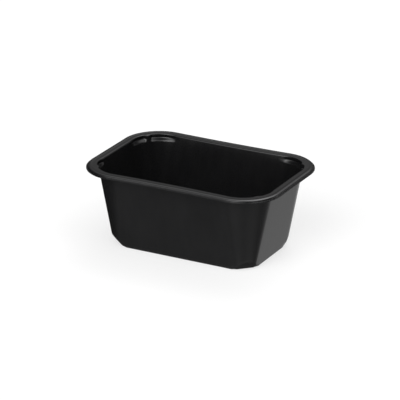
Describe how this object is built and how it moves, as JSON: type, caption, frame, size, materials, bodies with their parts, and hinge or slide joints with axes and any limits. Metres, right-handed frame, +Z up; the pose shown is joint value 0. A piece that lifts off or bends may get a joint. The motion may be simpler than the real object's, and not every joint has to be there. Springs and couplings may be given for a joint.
{
  "type": "sealable food tray",
  "caption": "Empty black plastic food tray: a deep tapered bowl with round corners, a flat sealing flange with a rolled lip, stacking lugs under it and bevelled corners at the base.",
  "frame": {"origin": "middle of the flat underside, on the surface the tray stands on", "axes": "+X along the tray's length, +Y across its width, +Z up towards the flange"},
  "size_m": [0.137, 0.0956, 0.0544],
  "materials": {
    "black_plastic": "black thermoformed sheet, smooth satin gloss"
  },
  "bodies": {
    "root": {"tray": "black_plastic"}
  },
  "joints": []
}
